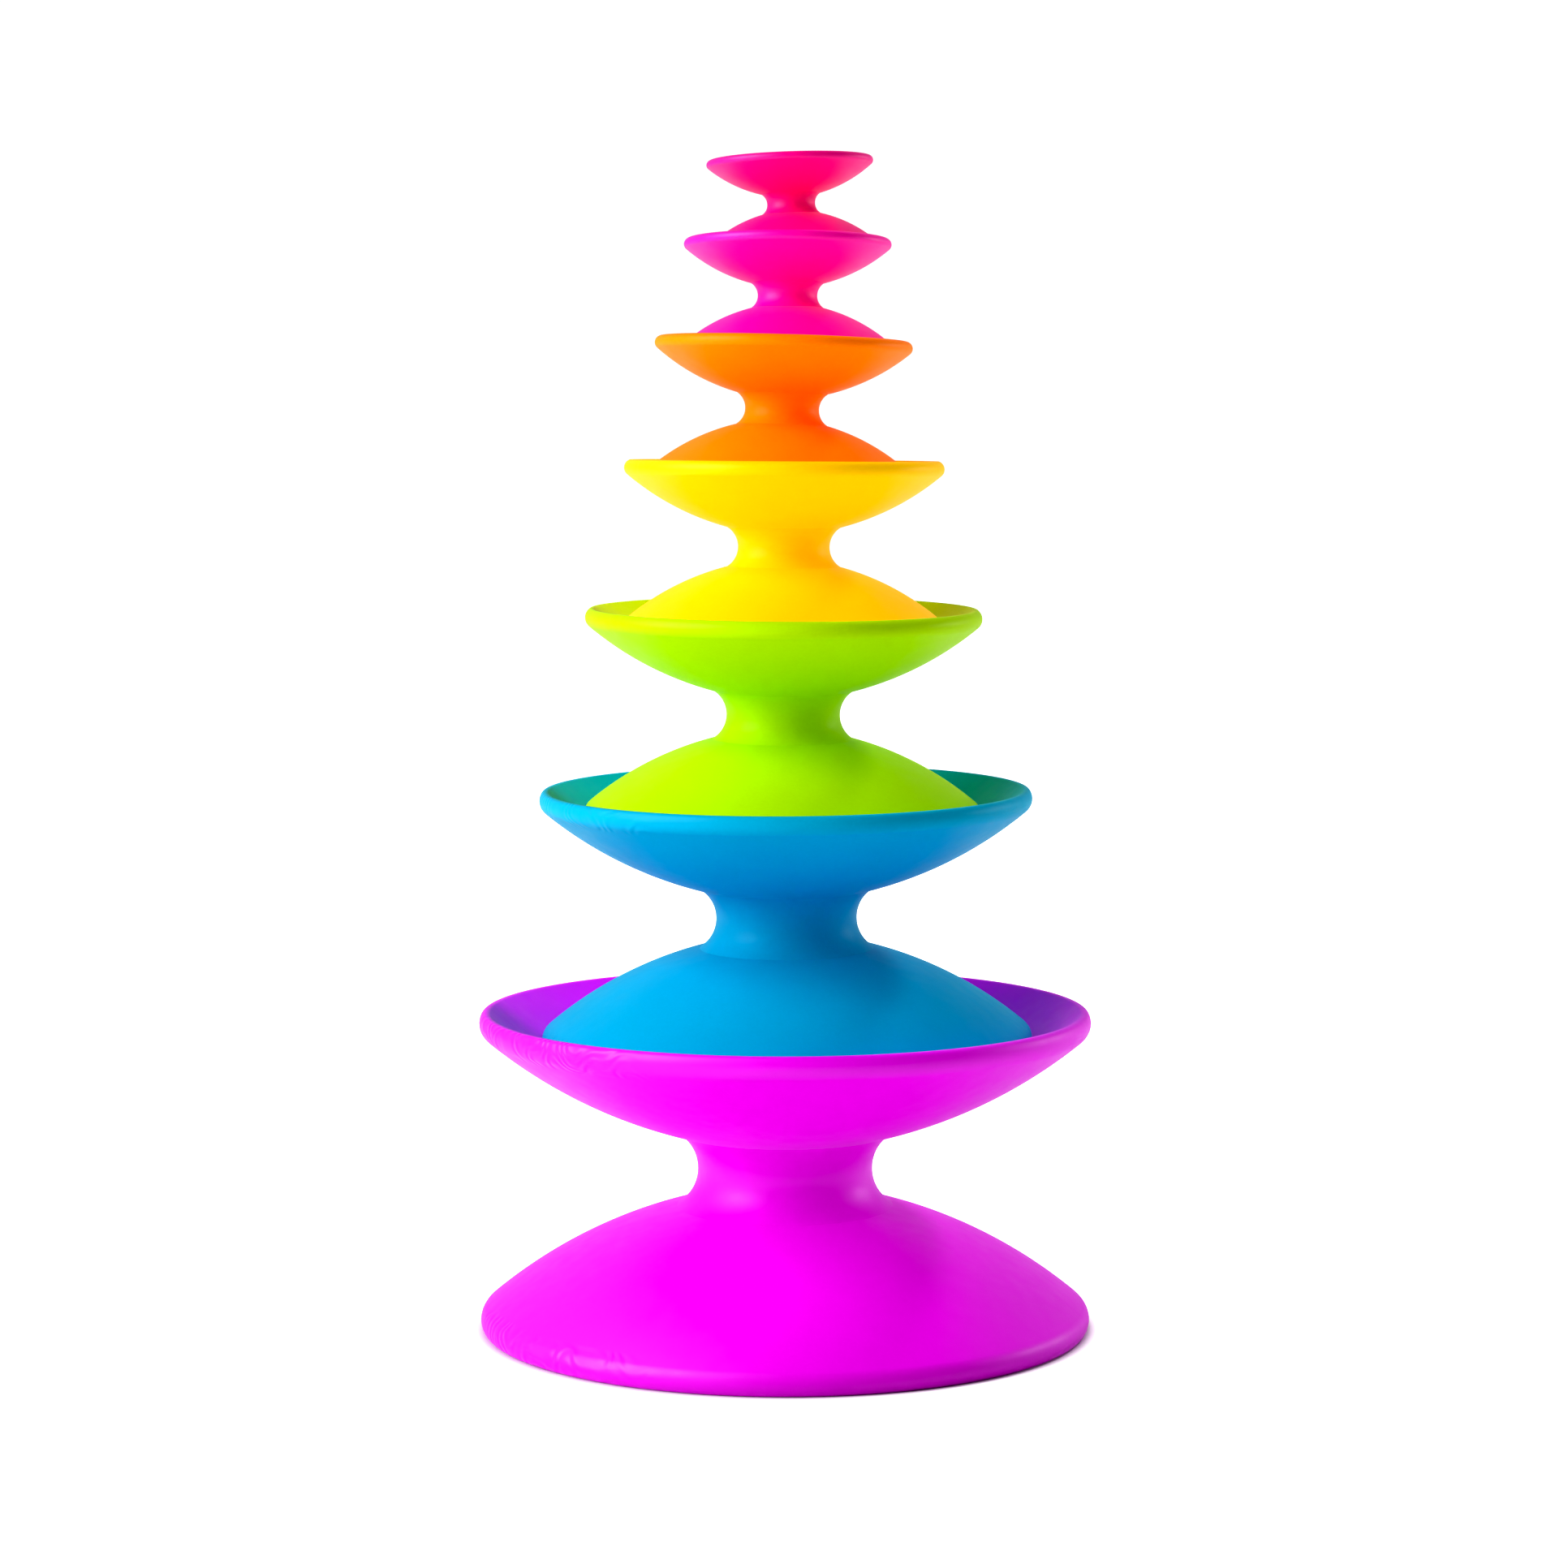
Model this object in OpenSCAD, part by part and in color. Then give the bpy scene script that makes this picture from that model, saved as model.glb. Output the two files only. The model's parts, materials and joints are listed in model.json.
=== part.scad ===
// Tower of seven nesting hourglass cups, each a smaller copy of the one below.
// Every cup is one solid of revolution: a bowl above, the same bowl upside down below, and a
// waisted neck between them. The foot rim of each cup rests inside the bowl of the cup below.
// Origin: centre of the largest cup's foot, on the surface it stands on. +Z is up, -Y is the front.

/* [Cup sizes] */
// Outer radius of the largest cup's rim, mm
largest_radius = 70; // [60:0.5:80]
// Size of each cup as a fraction of the cup below it
step_ratio = 0.803; // [0.795:0.001:0.81]

/* [Cup shape, as fractions of the cup's rim radius] */
// Radius of the rounded lip
lip_ratio = 0.054; // [0.045:0.001:0.06]
// Height of the lip's centre above the middle of the cup
lip_height_ratio = 0.489; // [0.47:0.001:0.51]
// Radius of the curve of the bowl's outside
wall_curve_ratio = 1.62; // [1.5:0.01:1.8]
// Radius of the neck at its narrowest
neck_ratio = 0.2865; // [0.25:0.0005:0.31]
// Radius of the crease where the neck meets the bowl
crease_ratio = 0.355; // [0.34:0.001:0.37]
// Height of the crease above the middle of the cup
crease_height_ratio = 0.123; // [0.11:0.001:0.135]
// Height of the centre of the bowl's spherical inside above the middle of the cup
bowl_centre_ratio = 1.689; // [1.6:0.001:1.75]
// Radius that softens the inner edge of the rim
edge_ratio = 0.02; // [0.015:0.001:0.022]
// Width of the narrow flat left on top of each rim
land_ratio = 0.0143; // [0.005:0.0001:0.02]

/* [How the cups sit] */
// Depth of each foot's lip centre below the lip centre of the bowl it rests in, mm, from the bottom up
seat_depths = [3.9, 2.9, 1.6, 0.85, 0.25, 0]; // [0:0.05:5]
// Running gap between each foot and the bowl it rests in, mm
seat_gap = 0.25; // [0.1:0.05:0.4]
// Lean of each cup to the right, degrees, from the bottom up
side_leans = [0, -0.3, 0.3, 0.4, 1.55, 0.25, -1.95]; // [-3:0.05:3]
// Lean of each cup towards the front, degrees, from the bottom up
front_leans = [0, 1, 1.2, 0, -0.8, -2.6, -1]; // [-3:0.05:3]

/* [Hidden] */
$fn = 128;
last_cup = len(side_leans) - 1;
// The lip stands this much proud of the wall's curve, so the two always cross cleanly.
overlap_ratio = 0.0003;
// Half-height of the block that joins the two bowls through the neck
web_ratio = 0.145;
// Radius of that block, just past the crease
web_radius_ratio = 0.4;

// Where two circles cross, on the chosen side (1 or -1) of the line from a to b
function circle_crossing(a, radius_a, b, radius_b, side) =
    let (
        gap = norm(b - a),
        along = (b - a) / gap,
        x = (radius_a * radius_a - radius_b * radius_b + gap * gap) / (2 * gap),
        y = sqrt(radius_a * radius_a - x * x)
    )
    a + x * along + side * y * [-along[1], along[0]];

function cup_radius(i) = largest_radius * pow(step_ratio, i);
function lip_radius(i) = lip_ratio * cup_radius(i);
function lip_centre(i) = [cup_radius(i) - lip_radius(i), lip_height_ratio * cup_radius(i)];
function overlap(i) = overlap_ratio * cup_radius(i);

// Centre of the curve of the bowl's outside: it meets the neck at the crease and runs into the lip.
function wall_centre(i) =
    circle_crossing(
        lip_centre(i),
        wall_curve_ratio * cup_radius(i) - lip_radius(i) + overlap(i),
        [crease_ratio, crease_height_ratio] * cup_radius(i),
        wall_curve_ratio * cup_radius(i),
        -1
    );

// The bowl's inside is part of a sphere, sized so that the next cup's foot rests at its seat depth.
function bowl_centre(i) = [0, bowl_centre_ratio * cup_radius(i)];
function seated_bowl_radius(i) =
    norm([lip_centre(i + 1)[0], bowl_centre(i)[1] - lip_centre(i)[1] + seat_depths[i]])
    + lip_radius(i + 1) + seat_gap;
function bowl_radius(i) =
    i < last_cup ? seated_bowl_radius(i) : seated_bowl_radius(i - 1) * step_ratio;

// Small round between the lip and the bowl's inside
function edge_radius(i) = edge_ratio * cup_radius(i);
function edge_centre(i) =
    circle_crossing(
        lip_centre(i),
        lip_radius(i) - edge_radius(i) + overlap(i),
        bowl_centre(i),
        bowl_radius(i) + edge_radius(i) - overlap(i),
        -1
    );

// Height of the flat land on the rim above the middle of the cup
function land_height_on(centre, radius, half_width) =
    centre[1] + sqrt(radius * radius - half_width * half_width);
function land_height(i) =
    edge_centre(i)[0] < lip_centre(i)[0]
        ? land_height_on(lip_centre(i), lip_radius(i), land_ratio * cup_radius(i) / 2)
        : land_height_on(edge_centre(i), edge_radius(i), land_ratio * cup_radius(i) / 2);

// Each cup leans about the centre of the spherical bowl it rests in.
function cup_axis(i) =
    [
        cos(front_leans[i]) * sin(side_leans[i]),
        -sin(front_leans[i]),
        cos(front_leans[i]) * cos(side_leans[i])
    ];
function spacing(i) = lip_centre(i)[1] + lip_centre(i + 1)[1] - seat_depths[i];
function cup_centre(i) =
    i == 0
        ? [0, 0, land_height(0)]
        : cup_centre(i - 1) + cup_axis(i - 1) * bowl_centre(i - 1)[1]
            - cup_axis(i) * (bowl_centre(i - 1)[1] - spacing(i - 1));

// The neck: a block through the middle with a round groove cut into its side
module neck_section(i) {
    r = cup_radius(i);
    groove_depth = (crease_ratio - neck_ratio) * r;
    crease_height = crease_height_ratio * r;
    groove_radius = (groove_depth * groove_depth + crease_height * crease_height) / (2 * groove_depth);
    difference() {
        translate([0, -web_ratio * r])
            square([web_radius_ratio * r, 2 * web_ratio * r]);
        translate([neck_ratio * r + groove_radius, 0])
            circle(r = groove_radius);
    }
}

// Area that holds the wall, ending on the line from the wall's centre through the lip
module wall_limit(i) {
    r = cup_radius(i);
    lip = lip_centre(i);
    outward = (lip - wall_centre(i)) / norm(lip - wall_centre(i));
    polygon([
        [0, 0],
        [0.8 * r, 0],
        lip + 1.5 * lip_radius(i) * outward,
        lip - 1.5 * lip_radius(i) * outward,
        [0, lip[1]]
    ]);
}

// Corner between the lip and the bowl's inside, which the small round replaces
module rim_corner(i) {
    centre = edge_centre(i);
    reach = 3 * edge_radius(i);
    from_lip = (centre - lip_centre(i)) / norm(centre - lip_centre(i));
    to_bowl = (bowl_centre(i) - centre) / norm(bowl_centre(i) - centre);
    polygon([
        centre,
        centre + reach * from_lip,
        centre + reach * (from_lip + to_bowl),
        centre + reach * to_bowl
    ]);
}

// One bowl: curved wall, rounded lip, spherical inside, softened inner edge, flat land
module bowl_section(i) {
    r = cup_radius(i);
    intersection() {
        union() {
            difference() {
                union() {
                    intersection() {
                        translate(wall_centre(i))
                            circle(r = wall_curve_ratio * r);
                        wall_limit(i);
                    }
                    translate(lip_centre(i))
                        circle(r = lip_radius(i));
                }
                translate(bowl_centre(i))
                    circle(r = bowl_radius(i));
                rim_corner(i);
            }
            translate(edge_centre(i))
                circle(r = edge_radius(i));
        }
        square([1.1 * r, land_height(i)]);
    }
}

module cup(i) {
    translate(cup_centre(i))
        rotate([front_leans[i], side_leans[i], 0])
            rotate_extrude() {
                neck_section(i);
                bowl_section(i);
                mirror([0, 1])
                    bowl_section(i);
            }
}

module cup_1_magenta() {
    color([0.83, 0.0, 0.84])
        cup(0);
}

module cup_2_blue() {
    color([0.0, 0.47, 0.8])
        cup(1);
}

module cup_3_green() {
    color([0.52, 0.88, 0.0])
        cup(2);
}

module cup_4_yellow() {
    color([1.0, 0.84, 0.0])
        cup(3);
}

module cup_5_orange() {
    color([1.0, 0.4, 0.0])
        cup(4);
}

module cup_6_pink() {
    color([1.0, 0.0, 0.62])
        cup(5);
}

module cup_7_rose() {
    color([1.0, 0.0, 0.36])
        cup(6);
}

cup_1_magenta();
cup_2_blue();
cup_3_green();
cup_4_yellow();
cup_5_orange();
cup_6_pink();
cup_7_rose();
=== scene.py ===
"""Looks for the stacking cup tower: seven satin silicone cups on a white sweep."""

import json
import math
from collections import namedtuple

import bpy
import numpy as np
from mathutils import Matrix, Vector


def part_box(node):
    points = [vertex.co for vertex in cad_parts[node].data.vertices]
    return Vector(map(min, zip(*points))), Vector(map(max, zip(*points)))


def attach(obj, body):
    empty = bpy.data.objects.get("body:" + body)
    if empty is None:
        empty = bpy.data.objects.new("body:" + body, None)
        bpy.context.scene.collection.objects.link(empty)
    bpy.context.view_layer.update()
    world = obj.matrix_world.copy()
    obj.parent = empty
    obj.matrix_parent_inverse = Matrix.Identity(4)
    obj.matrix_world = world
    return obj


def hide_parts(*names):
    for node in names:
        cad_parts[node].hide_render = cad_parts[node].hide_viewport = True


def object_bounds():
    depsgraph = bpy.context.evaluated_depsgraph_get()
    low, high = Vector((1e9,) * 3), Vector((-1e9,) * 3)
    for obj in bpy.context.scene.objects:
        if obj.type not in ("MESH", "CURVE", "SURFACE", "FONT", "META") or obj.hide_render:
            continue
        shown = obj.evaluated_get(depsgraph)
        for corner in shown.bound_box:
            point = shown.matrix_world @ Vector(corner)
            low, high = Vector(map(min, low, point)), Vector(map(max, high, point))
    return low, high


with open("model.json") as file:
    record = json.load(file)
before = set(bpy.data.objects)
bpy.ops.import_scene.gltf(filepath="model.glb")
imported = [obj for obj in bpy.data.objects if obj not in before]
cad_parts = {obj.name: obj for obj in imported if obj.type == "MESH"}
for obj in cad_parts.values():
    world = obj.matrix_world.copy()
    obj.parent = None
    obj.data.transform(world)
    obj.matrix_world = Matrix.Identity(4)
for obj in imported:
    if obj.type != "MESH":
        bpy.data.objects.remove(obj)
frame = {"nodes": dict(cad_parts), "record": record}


def plain_box(bounds):
    """A box as plain lists of numbers."""
    return [[float(value) for value in corner] for corner in bounds]


cad_box = plain_box(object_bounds())

# ---------------------------------------------------------------- cup shape
# Proportions of every cup, as fractions of its rim radius, as in the CAD source.
LIP = 0.054
LIP_HEIGHT = 0.489
WALL_CURVE = 1.62
NECK = 0.2865
CREASE = 0.355
CREASE_HEIGHT = 0.123
BOWL_CENTRE = 1.689
EDGE = 0.02
LAND = 0.0143
CREASE_FILLET = 0.006

# How near the axis a mesh point must be to count as the bottom of the bowl, and the least by which
# a bowl must reach into the round of the lip, both as fractions of the rim radius.
NEAR_AXIS = 0.01
LEAST_REACH = 0.0001

# Faces round each cup.
AROUND = 192


def circle_crossing(a, radius_a, b, radius_b, side):
    """Where two circles cross, on one side (1 or -1) of the line from a to b."""
    gap = math.dist(a, b)
    along = ((b[0] - a[0]) / gap, (b[1] - a[1]) / gap)
    x = (radius_a**2 - radius_b**2 + gap**2) / (2 * gap)
    y = side * math.sqrt(radius_a**2 - x**2)
    return (a[0] + x * along[0] - y * along[1], a[1] + x * along[1] + y * along[0])


def direction(a, b):
    """Angle of the line from a to b."""
    return math.atan2(b[1] - a[1], b[0] - a[0])


def arc(centre, radius, start, end, steps, hollow=False):
    """Points on an arc, each with its outward normal; a hollow arc's normals point at its centre."""
    facing = -1 if hollow else 1
    points = []
    for step in range(steps + 1):
        angle = start + (end - start) * step / steps
        c, s = math.cos(angle), math.sin(angle)
        points.append((centre[0] + radius * c, centre[1] + radius * s, facing * c, facing * s))
    return points


def upper_outline(bowl_radius):
    """Outline of a cup of rim radius 1, from the bottom of its bowl, over the rim, to the mid-neck.
    Each point is (radius, height, normal radius, normal height)."""
    lip = (1 - LIP, LIP_HEIGHT)
    crease = (CREASE, CREASE_HEIGHT)
    bowl = (0, BOWL_CENTRE)
    wall = circle_crossing(lip, WALL_CURVE - LIP, crease, WALL_CURVE, -1)
    edge = circle_crossing(lip, LIP - EDGE, bowl, bowl_radius + EDGE, -1)
    edge_start = direction(edge, bowl)
    edge_end = direction(lip, edge)
    lip_end = direction(wall, lip)

    # The flat land on top of the rim cuts off the top of whichever round is highest.
    top, top_radius = (lip, LIP) if edge[0] < lip[0] else (edge, EDGE)
    land = top[1] + math.sqrt(top_radius**2 - (LAND / 2) ** 2)
    edge_rise = math.asin(min(1, (land - edge[1]) / EDGE))
    lip_rise = math.asin((land - lip[1]) / LIP)
    points = arc(bowl, bowl_radius, -math.pi / 2, direction(bowl, edge), steps=56, hollow=True)
    if math.pi - edge_rise > edge_end:
        points += arc(edge, EDGE, edge_start, math.pi - edge_rise, steps=7)[1:]
    else:
        points += arc(edge, EDGE, edge_start, edge_end, steps=6)[1:]
        points += arc(lip, LIP, edge_end, math.pi - lip_rise, steps=4)[1:]
    if edge_rise > edge_end:
        points += arc(edge, EDGE, edge_rise, edge_end, steps=5)
        points += arc(lip, LIP, edge_end, lip_end, steps=24)[1:]
    else:
        points += arc(lip, LIP, lip_rise, lip_end, steps=26)

    # A tiny fillet softens the crease between the wall and the neck's round groove.
    groove_depth = CREASE - NECK
    groove_radius = (groove_depth**2 + CREASE_HEIGHT**2) / (2 * groove_depth)
    groove = (NECK + groove_radius, 0)
    fillet = circle_crossing(wall, WALL_CURVE + CREASE_FILLET, groove, groove_radius - CREASE_FILLET, -1)
    groove_start = direction(groove, fillet)
    points += arc(wall, WALL_CURVE, lip_end, direction(wall, fillet), steps=44)[1:]
    points += arc(fillet, CREASE_FILLET, direction(fillet, wall), groove_start, steps=4, hollow=True)[1:]
    points += arc(groove, groove_radius, groove_start, math.pi, steps=20, hollow=True)[1:]
    return points


def full_outline(bowl_radius):
    """Closed outline of a cup, from its bowl round to the underside of its foot."""
    upper = upper_outline(bowl_radius)
    lower = [(r, -z, nr, -nz) for r, z, nr, nz in reversed(upper[:-1])]
    return upper + lower


# ---------------------------------------------------------------- measuring
def measured_cup(node):
    """Centre, axis, rim radius and bowl radius of a cup, from its CAD node's mesh. A cup is its own
    mirror image through its centre, so the middle of its box is its centre."""
    mesh = frame["nodes"][node].data
    mesh.calc_loop_triangles()
    points = np.empty(len(mesh.vertices) * 3)
    mesh.vertices.foreach_get("co", points)
    points = points.reshape(-1, 3)
    corners = np.empty(len(mesh.loop_triangles) * 3, np.int32)
    mesh.loop_triangles.foreach_get("vertices", corners)
    low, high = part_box(node)
    centre = (low + high) / 2
    triangles = points[corners.reshape(-1, 3)] - np.array(centre)
    sides = np.cross(triangles[:, 1] - triangles[:, 0], triangles[:, 2] - triangles[:, 0])
    areas = np.linalg.norm(sides, axis=1)
    middles = triangles.mean(axis=1)
    spread = (areas[:, None] * middles).T @ middles
    axis = np.linalg.eigh(spread)[1][:, 0]
    axis = axis * np.sign(axis[2])
    heights = (points - np.array(centre)) @ axis
    from_axis = np.linalg.norm(points - np.array(centre) - heights[:, None] * axis, axis=1)
    radius = from_axis.max()
    on_axis = heights[(from_axis < NEAR_AXIS * radius) & (heights > 0)]
    bowl_radius = BOWL_CENTRE - on_axis.min() / radius
    smallest = math.dist((1 - LIP, LIP_HEIGHT), (0, BOWL_CENTRE)) - LIP
    return centre, Vector(axis), radius, max(bowl_radius, smallest + LEAST_REACH)


# ---------------------------------------------------------------- cups
def lathe(name, outline, size):
    """A closed mesh turned from an outline about +Z, with the outline's own smooth normals."""
    ring = [2 * math.pi * k / AROUND for k in range(AROUND)]
    top, *sides, bottom = outline
    vertices = [(0, 0, top[1] * size)]
    normals = [(0, 0, 1)]
    for radius, height, out, up in sides:
        reach = radius * size
        vertices += [(reach * math.cos(a), reach * math.sin(a), height * size) for a in ring]
        normals += [(out * math.cos(a), out * math.sin(a), up) for a in ring]
    vertices.append((0, 0, bottom[1] * size))
    normals.append((0, 0, -1))
    last = len(vertices) - 1
    faces = []
    for k in range(AROUND):
        following = (k + 1) % AROUND
        faces.append((0, 1 + k, 1 + following))
        for row in range(len(sides) - 1):
            inner, outer = 1 + row * AROUND, 1 + (row + 1) * AROUND
            faces.append((inner + k, outer + k, outer + following, inner + following))
        faces.append((last, last - AROUND + following, last - AROUND + k))
    mesh = bpy.data.meshes.new(name)
    mesh.from_pydata(vertices, [], faces)
    mesh.polygons.foreach_set("use_smooth", [True] * len(mesh.polygons))
    mesh.normals_split_custom_set_from_vertices(normals)
    piece = bpy.data.objects.new(name, mesh)
    bpy.context.scene.collection.objects.link(piece)
    return piece


def add_cup(node, body, material):
    """The smooth cup that stands for a coarse CAD cup, in the same place and of the same size."""
    centre, axis, radius, bowl_radius = measured_cup(node)
    piece = lathe(node + "_skin", full_outline(bowl_radius), radius)
    lean = Vector((0, 0, 1)).rotation_difference(axis)
    piece.matrix_world = Matrix.Translation(centre) @ lean.to_matrix().to_4x4()
    piece.data.materials.append(material)
    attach(piece, body)
    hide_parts(node)
    return piece


# ---------------------------------------------------------------- silicone
# Sizes of the silicone's noises, in metres, from its colour clouds down to its moulded grain.
CLOUD_SIZE = 0.018
SWELL_SIZE = 0.011
UNEVEN_SIZE = 0.006
SATIN_SIZE = 0.004
SPECK_SIZE = 0.0007
GRAIN_SIZE = 0.00045

# The lowest and highest roughness of the satin, and how much sheen comes with each unit of gloss.
SATIN_ROUGHNESS = (0.43, 0.5)
SHEEN_PER_GLOSS = 0.2

# The noises' usual range, which is stretched over what each one drives.
NOISE_RANGE = (0.3, 0.7)

# The strength and depth, in metres, of the uneven surface and of the grain, and the ripples' depth.
UNEVEN_BUMP = (0.2, 0.00015)
GRAIN_BUMP = (0.5, 0.00003)
RIPPLE_DEPTH = 0.0001

# Where the lip begins, and where the ripples fade out along X and Y, as fractions of the rim radius.
LIP_START = 0.955
SIDE_FADE = (-0.6, -0.4)
FRONT_FADE = (-0.3, 0.0)

# How far past the lip's start its ripples reach full height, in metres, and how tightly they are packed.
LIP_FADE = 0.001
RIPPLE_DENSITY = 60


def add_node(material, kind, **values):
    """A shader node with some of its inputs and settings set by name."""
    node = material.node_tree.nodes.new(kind)
    for key, value in values.items():
        if hasattr(node, key):
            setattr(node, key, value)
        else:
            node.inputs[key.replace("_", " ")].default_value = value
    return node


def noise(material, coordinates, size, detail=2.0, roughness=0.5):
    """Noise whose grains are about size metres across."""
    node = add_node(material, "ShaderNodeTexNoise", Scale=1 / size, Detail=detail, Roughness=roughness)
    material.node_tree.links.new(coordinates, node.inputs["Vector"])
    return node.outputs["Fac"]


def remap(material, value, low, high, new_low, new_high):
    """A value moved from one range to another, and held inside it."""
    node = add_node(material, "ShaderNodeMapRange", clamp=True)
    node.inputs["From Min"].default_value = low
    node.inputs["From Max"].default_value = high
    node.inputs["To Min"].default_value = new_low
    node.inputs["To Max"].default_value = new_high
    material.node_tree.links.new(value, node.inputs["Value"])
    return node.outputs["Result"]


def multiply(material, first, second):
    """The product of a value and either another value or a number."""
    node = add_node(material, "ShaderNodeMath", operation="MULTIPLY")
    material.node_tree.links.new(first, node.inputs[0])
    if isinstance(second, (int, float)):
        node.inputs[1].default_value = second
    else:
        material.node_tree.links.new(second, node.inputs[1])
    return node.outputs[0]


def bump(material, height, strength, depth, below=None):
    """A bumpy surface of a given depth in metres, laid over the bumps below it."""
    node = add_node(material, "ShaderNodeBump", Strength=strength, Distance=depth)
    material.node_tree.links.new(height, node.inputs["Height"])
    if below is not None:
        material.node_tree.links.new(below, node.inputs["Normal"])
    return node.outputs["Normal"]


def lip_ripples(material, place, radius):
    """Faint contour ripples on the lips, at the front of the cup's -X side only."""
    links = material.node_tree.links
    flat = add_node(material, "ShaderNodeVectorMath", operation="MULTIPLY")
    flat.inputs[1].default_value = (1, 1, 0)
    links.new(place, flat.inputs[0])
    reach = add_node(material, "ShaderNodeVectorMath", operation="LENGTH")
    links.new(flat.outputs["Vector"], reach.inputs[0])
    across = add_node(material, "ShaderNodeSeparateXYZ")
    links.new(place, across.inputs["Vector"])
    lip_start = LIP_START * radius
    on_lip = remap(material, reach.outputs["Value"], lip_start, lip_start + LIP_FADE, 0, 1)
    on_side = remap(material, across.outputs["X"], *(radius * x for x in SIDE_FADE), 1, 0)
    on_front = remap(material, across.outputs["Y"], *(radius * y for y in FRONT_FADE), 1, 0)
    swells = noise(material, place, SWELL_SIZE, detail=0.5)
    waves = add_node(material, "ShaderNodeMath", operation="SINE")
    links.new(multiply(material, swells, RIPPLE_DENSITY), waves.inputs[0])
    ripples = waves.outputs[0]
    for mask in (on_lip, on_side, on_front):
        ripples = multiply(material, ripples, mask)
    return ripples


def clouded_colour(material, place, colour, deep_colour):
    """A colour that clouds over softly and has fine specks."""
    links = material.node_tree.links
    clouds = remap(material, noise(material, place, CLOUD_SIZE, detail=3.0), *NOISE_RANGE, 0.0, 0.6)
    specks = remap(material, noise(material, place, SPECK_SIZE, detail=1.0), *NOISE_RANGE, 0.0, 0.4)
    both = add_node(material, "ShaderNodeMath", operation="ADD")
    links.new(clouds, both.inputs[0])
    links.new(specks, both.inputs[1])
    tint = add_node(material, "ShaderNodeMix", data_type="RGBA")
    tint.inputs["A"].default_value = (*deep_colour, 1)
    tint.inputs["B"].default_value = (*colour, 1)
    links.new(both.outputs[0], tint.inputs["Factor"])
    return tint.outputs["Result"]


def silicone(name, look, radius):
    """Satin silicone: slight clouding of the colour, uneven satin, fine moulded grain."""
    material = bpy.data.materials.new(name)
    material.use_nodes = True
    links = material.node_tree.links
    shader = material.node_tree.nodes["Principled BSDF"]
    place = add_node(material, "ShaderNodeTexCoord").outputs["Object"]
    links.new(clouded_colour(material, place, look.colour, look.deep_colour), shader.inputs["Base Color"])

    satin = noise(material, place, SATIN_SIZE, detail=2.0)
    links.new(remap(material, satin, *NOISE_RANGE, *SATIN_ROUGHNESS), shader.inputs["Roughness"])

    surface = bump(material, lip_ripples(material, place, radius), look.ripple, RIPPLE_DEPTH)
    surface = bump(material, noise(material, place, UNEVEN_SIZE, detail=1.0), *UNEVEN_BUMP, surface)
    surface = bump(material, noise(material, place, GRAIN_SIZE, detail=2.0), *GRAIN_BUMP, surface)
    links.new(surface, shader.inputs["Normal"])

    shader.inputs["Specular IOR Level"].default_value = look.gloss
    # The glow is painted light: an emission that keeps the warm cups bright in their shade.
    shader.inputs["Emission Color"].default_value = (*look.glow, 1)
    shader.inputs["Emission Strength"].default_value = 1.0
    shader.inputs["Sheen Weight"].default_value = SHEEN_PER_GLOSS * look.gloss
    shader.inputs["Sheen Roughness"].default_value = 0.4
    shader.inputs["Subsurface Weight"].default_value = 0.12
    shader.inputs["Subsurface Radius"].default_value = (1.0, 1.0, 1.0)
    shader.inputs["Subsurface Scale"].default_value = 0.002
    return material


# Each material slot's colour in linear light, its deeper clouds, how much it shines, how much its
# lips are rippled, and the light it gives off. The warm cups of the photograph stay bright in shade;
# their glow is painted light, an emission that brightens them, most of all in shade.
Look = namedtuple("Look", "colour deep_colour gloss ripple glow")
DARK = (0.0, 0.0, 0.0)
SILICONE_LOOKS = {
    "magenta": Look((0.97, 0.0, 0.95), (0.94, 0.0, 0.92), gloss=0.55, ripple=0.8, glow=DARK),
    "blue": Look((0.0, 0.475, 0.725), (0.0, 0.445, 0.685), gloss=0.15, ripple=0.5, glow=DARK),
    "green": Look((0.545, 0.88, 0.0), (0.52, 0.84, 0.0), gloss=0.15, ripple=0.1, glow=DARK),
    "yellow": Look((1.0, 0.62, 0.0), (1.0, 0.595, 0.0), gloss=0.2, ripple=0.1, glow=(0.25, 0.14, 0.0)),
    "orange": Look((1.0, 0.335, 0.0), (1.0, 0.31, 0.0), gloss=0.2, ripple=0.1, glow=(0.22, 0.0, 0.0)),
    "pink": Look((1.0, 0.0, 0.51), (1.0, 0.0, 0.48), gloss=0.5, ripple=0.1, glow=(0.14, 0.0, 0.0)),
    "rose": Look((1.0, 0.0, 0.35), (1.0, 0.0, 0.33), gloss=0.5, ripple=0.1, glow=(0.06, 0.0, 0.0)),
}

slot_of_node = {part["node"]: part["material_slot"] for part in frame["record"]["subparts"]}
for body, nodes in frame["record"]["behaviour"]["bodies"].items():
    for node in nodes:
        slot = slot_of_node[node]
        low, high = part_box(node)
        material = silicone("silicone_" + slot, SILICONE_LOOKS[slot], (high.x - low.x) / 2)
        add_cup(node, body, material)


# ---------------------------------------------------------------- studio
# Distances outside the foot's rim, in metres, between which the floor goes from dark to glowing: as
# the camera sees it, and as it lights the cups.
SEEN_GLOW = (-0.0005, 0.0025)
CAST_GLOW = (0.002, 0.07)
CAST_STRENGTH = 0.45

# The directions, by their Y, between which the surroundings brighten from front to back, and how
# bright the camera sees them.
WORLD_FRONT = -0.4
WORLD_BACK = 0.5
WORLD_SEEN = 1.05

# The camera, in metres, degrees and millimetres.
EYE = (-0.00025, -0.8856, 0.2042)
LOOKING_DOWN = 5.092
LENS = 89.44
SENSOR_WIDTH = 36

# Extra contrast of the display, to match the photograph's.
DISPLAY_GAMMA = 0.8
DISPLAY_BLACK = 0.022


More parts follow.
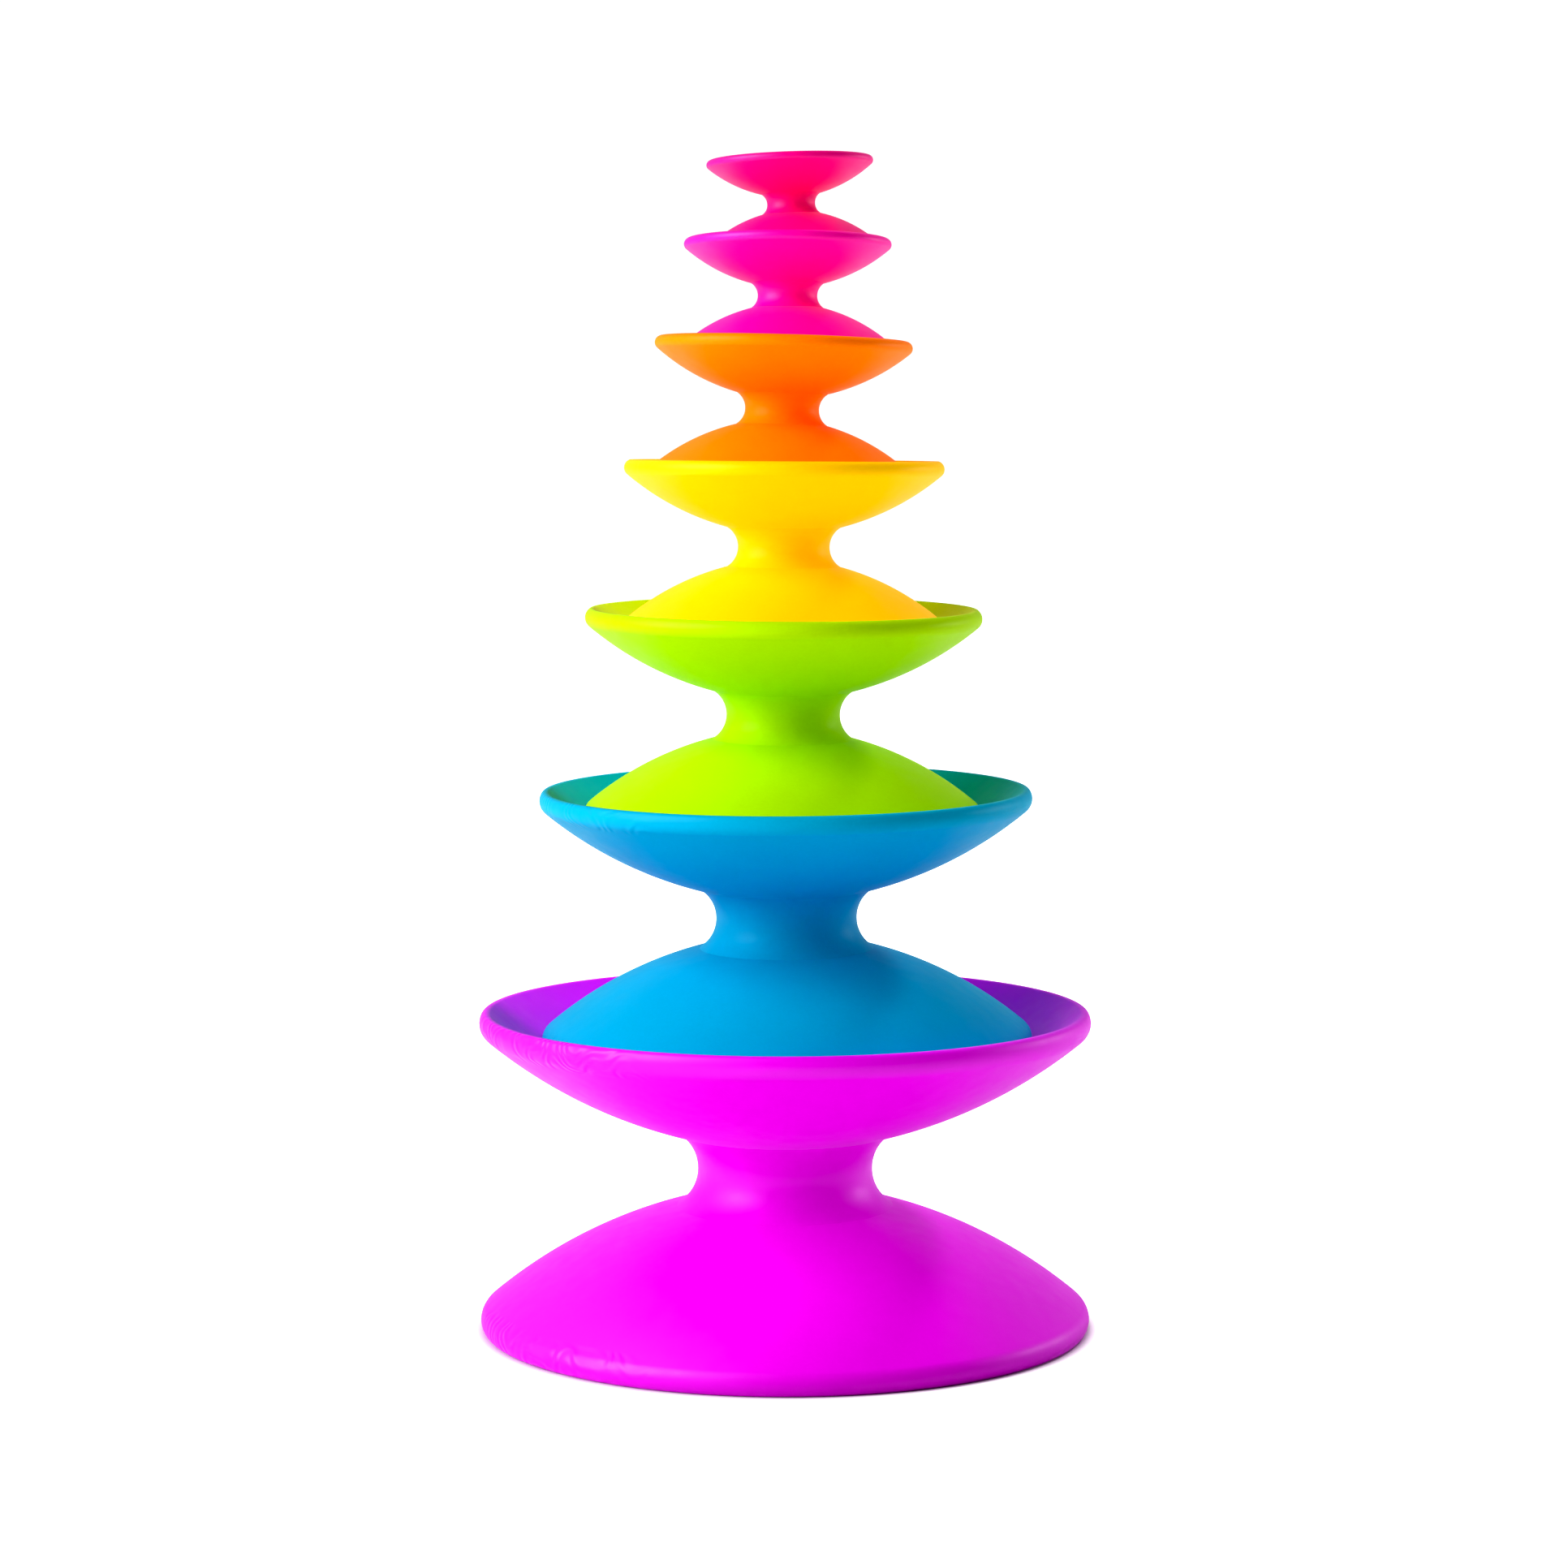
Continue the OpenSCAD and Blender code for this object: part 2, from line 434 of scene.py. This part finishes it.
def add_floor(radius, foot):
    """A plain white shooting table that glows outside a foot of a given radius. To the camera it turns
    white close to the foot, and as a light it brightens more slowly."""
    bpy.ops.mesh.primitive_circle_add(vertices=128, radius=radius, fill_type="NGON", location=(0, 0, 0))
    floor = bpy.context.object
    floor.name = "studio_floor"
    material = bpy.data.materials.new("studio_floor")
    material.use_nodes = True
    links = material.node_tree.links
    shader = material.node_tree.nodes["Principled BSDF"]
    shader.inputs["Base Color"].default_value = (0.7, 0.7, 0.7, 1)
    shader.inputs["Roughness"].default_value = 0.6
    shader.inputs["Specular IOR Level"].default_value = 0.25
    place = add_node(material, "ShaderNodeTexCoord").outputs["Object"]
    distance = add_node(material, "ShaderNodeVectorMath", operation="LENGTH")
    links.new(place, distance.inputs[0])
    shader.inputs["Emission Color"].default_value = (1, 1, 1, 1)
    away = distance.outputs["Value"]
    shown = remap(material, away, *(foot + gap for gap in SEEN_GLOW), 0.0, 1.0)
    cast = remap(material, away, *(foot + gap for gap in CAST_GLOW), 0.0, CAST_STRENGTH)
    seen = add_node(material, "ShaderNodeLightPath")
    strength = add_node(material, "ShaderNodeMix")
    links.new(seen.outputs["Is Camera Ray"], strength.inputs["Factor"])
    links.new(cast, strength.inputs["A"])
    links.new(shown, strength.inputs["B"])
    links.new(strength.outputs["Result"], shader.inputs["Emission Strength"])
    floor.data.materials.append(material)
    return floor


def add_area_light(name, target, azimuth, elevation, distance, size, power):
    """A soft panel that looks at target. Azimuth 0 is the camera's side, and positive is to the right."""
    light = bpy.data.lights.new(name, "AREA")
    light.shape = "RECTANGLE"
    light.size, light.size_y = size
    light.energy = power
    lamp = bpy.data.objects.new(name, light)
    bpy.context.scene.collection.objects.link(lamp)
    around, up = math.radians(azimuth), math.radians(elevation)
    offset = Vector((math.sin(around) * math.cos(up), -math.cos(around) * math.cos(up), math.sin(up)))
    lamp.location = target + offset * distance
    lamp.rotation_euler = offset.to_track_quat("Z", "Y").to_euler()
    lamp.visible_camera = False
    return lamp


def add_world(front, back):
    """White surroundings, brighter behind the object than on the camera's side."""
    world = bpy.data.worlds.new("studio")
    world.use_nodes = True
    bpy.context.scene.world = world
    nodes, links = world.node_tree.nodes, world.node_tree.links
    background = nodes["Background"]
    place = nodes.new("ShaderNodeTexCoord")
    split = nodes.new("ShaderNodeSeparateXYZ")
    links.new(place.outputs["Generated"], split.inputs["Vector"])
    depth = nodes.new("ShaderNodeMapRange")
    depth.interpolation_type = "SMOOTHSTEP"
    depth.inputs["From Min"].default_value = WORLD_FRONT
    depth.inputs["From Max"].default_value = WORLD_BACK
    depth.inputs["To Min"].default_value = front
    depth.inputs["To Max"].default_value = back
    links.new(split.outputs["Y"], depth.inputs["Value"])
    seen = nodes.new("ShaderNodeLightPath")
    white = nodes.new("ShaderNodeMix")
    links.new(seen.outputs["Is Camera Ray"], white.inputs["Factor"])
    links.new(depth.outputs["Result"], white.inputs["A"])
    white.inputs["B"].default_value = WORLD_SEEN
    background.inputs["Color"].default_value = (1, 1, 1, 1)
    links.new(white.outputs["Result"], background.inputs["Strength"])


def add_camera():
    """The photograph's eye level and distance: a little above the middle, looking slightly down."""
    camera_data = bpy.data.cameras.new("camera")
    camera_data.sensor_width = SENSOR_WIDTH
    camera_data.lens = LENS
    camera = bpy.data.objects.new("camera", camera_data)
    bpy.context.scene.collection.objects.link(camera)
    camera.location = EYE
    camera.rotation_euler = (math.radians(90 - LOOKING_DOWN), 0, 0)
    bpy.context.scene.camera = camera


def set_display():
    """Plain sRGB with a little extra contrast."""
    view = bpy.context.scene.view_settings
    view.view_transform = "Standard"
    view.gamma = DISPLAY_GAMMA
    view.use_curve_mapping = True
    view.curve_mapping.black_level = (DISPLAY_BLACK, DISPLAY_BLACK, DISPLAY_BLACK)
    view.curve_mapping.update()


middle = (Vector(cad_box[0]) + Vector(cad_box[1])) / 2
add_floor(radius=4, foot=cad_box[1][0])
add_area_light("key_panel", middle, azimuth=-66, elevation=30, distance=1.2, size=(0.8, 0.9), power=18.5)
add_area_light("right_fill", middle, azimuth=112, elevation=10, distance=1.3, size=(0.5, 0.3), power=3)
side_spot = add_area_light(
    "side_spot", middle, azimuth=137, elevation=39, distance=1.3, size=(0.14, 0.14), power=6
)
side_spot.visible_glossy = False
add_world(front=0.14, back=0.5)
add_camera()
set_display()
